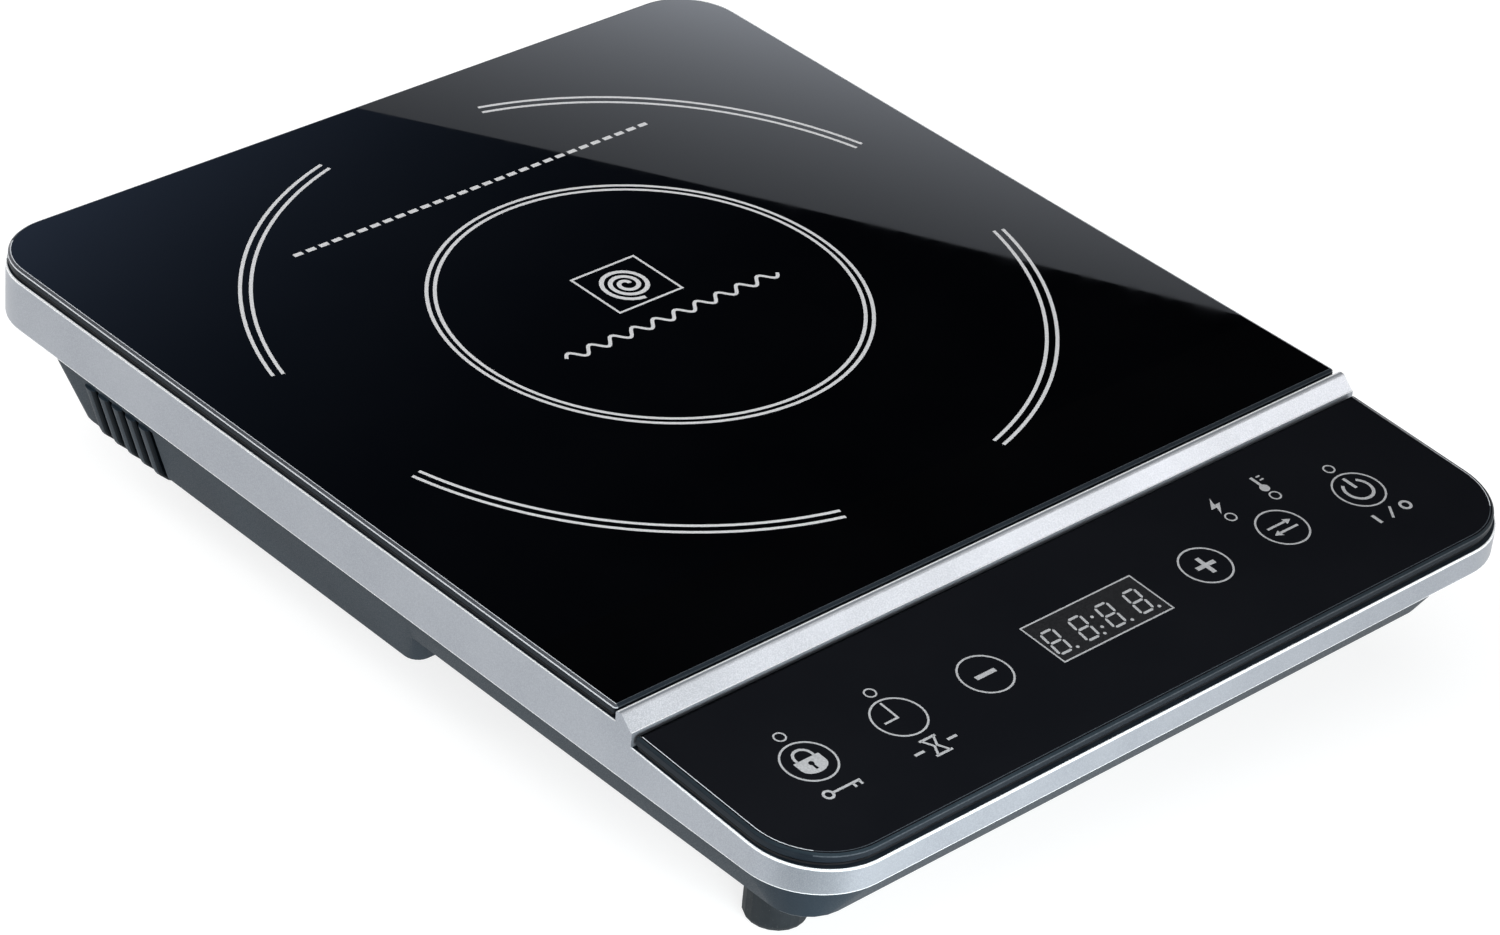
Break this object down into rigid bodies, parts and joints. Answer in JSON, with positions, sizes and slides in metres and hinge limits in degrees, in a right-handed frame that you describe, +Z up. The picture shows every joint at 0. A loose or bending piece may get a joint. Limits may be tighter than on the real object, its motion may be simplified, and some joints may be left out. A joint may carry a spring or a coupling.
{
  "type": "electric induction cooktop",
  "caption": "Portable induction cooktop: square cooking glass and sloping touch control glass in a silver frame over a shallow vented casing on round feet, with coil, fan and power board.",
  "frame": {"origin": "on the worktop under the middle of the bounding box, at the bottoms of the feet", "axes": "+Z up out of the cooking glass, +Y towards the rear, away from the controls, +X to the user's right"},
  "size_m": [0.28, 0.356, 0.063],
  "materials": {
    "black_glass": "gloss black glass-ceramic with ground grey edges and thin light prints",
    "silver_frame": "satin silver with a fine grain and a bright thin lip",
    "casing_plastic": "dark slate moulded plastic with a fine texture",
    "foot_rubber": "black moulded rubber",
    "seal_silicone": "black silicone",
    "steel": "zinc plated steel",
    "coil_copper": "lacquered stranded copper",
    "white_plastic": "heat resistant moulding",
    "light_print": "light grey ink of the printed symbols and of the display digits",
    "ferrite": "dark sintered ferrite",
    "mica": "flaky pressed mica",
    "black_plastic": "black moulding",
    "board_laminate": "brown phenolic board",
    "control_laminate": "green lacquered board",
    "heat_sink_aluminium": "extruded, plain",
    "film_case": "dipped yellow case",
    "lamp_red": "tinted epoxy",
    "wire_jacket": "white insulation"
  },
  "bodies": {
    "housing": {"control_glass": "black_glass", "control_glass_seal": "seal_silicone", "control_board": "control_laminate", "display_module": "light_print", "touch_spring_lock": "steel", "touch_spring_timer": "steel", "touch_spring_minus": "steel", "touch_spring_plus": "steel", "touch_spring_mode": "steel", "touch_spring_power": "steel", "lamp_lock": "lamp_red", "lamp_timer": "lamp_red", "lamp_watts": "lamp_red", "lamp_heat": "lamp_red", "lamp_on": "lamp_red", "cooktop_glass": "black_glass", "cooktop_glass_seal": "seal_silicone", "top_frame": "silver_frame", "lower_casing": "casing_plastic", "front_left_foot": "foot_rubber", "front_right_foot": "foot_rubber", "rear_left_foot": "foot_rubber", "rear_right_foot": "foot_rubber", "casing_screw_1": "steel", "casing_screw_2": "steel", "casing_screw_3": "steel", "casing_screw_4": "steel", "coil_screw_1": "steel", "coil_screw_2": "steel", "coil_screw_3": "steel", "cord_gland": "foot_rubber", "induction_coil": "coil_copper", "coil_carrier": "white_plastic", "ferrite_bar_1": "ferrite", "ferrite_bar_2": "ferrite", "ferrite_bar_3": "ferrite", "ferrite_bar_4": "ferrite", "ferrite_bar_5": "ferrite", "ferrite_bar_6": "ferrite", "mica_sheet": "mica", "glass_sensor": "seal_silicone", "fan_frame": "black_plastic", "fan_stator": "coil_copper", "power_board": "board_laminate", "heat_sink": "heat_sink_aluminium", "power_transistor": "black_plastic", "bridge_rectifier": "black_plastic", "resonance_capacitor": "film_case", "dc_link_capacitor": "film_case", "interference_capacitor": "film_case", "electrolytic_capacitor": "black_plastic", "filter_choke": "coil_copper", "current_transformer": "ferrite", "fuse": "steel", "terminal_block": "white_plastic", "ribbon_cable": "wire_jacket", "coil_lead_outer": "wire_jacket", "coil_lead_inner": "wire_jacket"},
    "fan": {"fan_rotor": "black_plastic", "fan_shaft": "steel"}
  },
  "joints": [
    {"name": "fan_spin", "type": "hinge", "parent": "housing", "child": "fan", "pos_m": [0.066, 0.07, 0.03], "axis": [0, 0, 1], "continuous": true}
  ]
}
